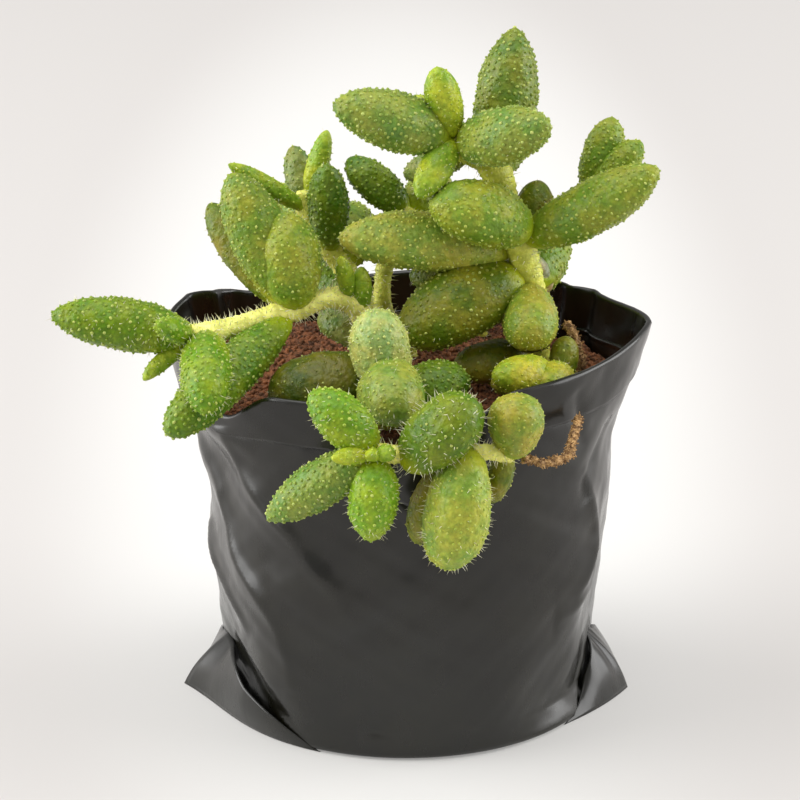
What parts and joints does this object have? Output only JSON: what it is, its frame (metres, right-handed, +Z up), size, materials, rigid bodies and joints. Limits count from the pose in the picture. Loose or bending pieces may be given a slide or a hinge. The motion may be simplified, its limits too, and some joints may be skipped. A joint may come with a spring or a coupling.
{
  "type": "potted pickle plant",
  "caption": "Small succulent with bristly, finger-shaped leaves on hairy stems, growing in soil in a folded black film nursery bag.",
  "frame": {"origin": "centre of the bag's base, on the floor", "axes": "+Z up, +X to the plant's right as seen from the front, +Y away from the front"},
  "size_m": [0.1198, 0.0971, 0.1378],
  "materials": {
    "film": "satin",
    "soil": "matte",
    "leaf_green": "satin",
    "leaf_blue_green": "satin",
    "leaf_olive": "satin",
    "dry_stem": "matte"
  },
  "bodies": {
    "root": {"nursery_bag": "film", "potting_soil": "soil", "tall_shoot": "leaf_green", "right_shoot": "leaf_olive", "left_shoot": "leaf_green", "back_left_shoot": "leaf_blue_green", "rear_shoot": "leaf_blue_green", "back_right_shoot": "leaf_green", "centre_shoot": "leaf_olive", "front_shoot": "leaf_green", "dry_stem_inside": "dry_stem", "dry_stem_outside": "dry_stem"}
  },
  "joints": []
}
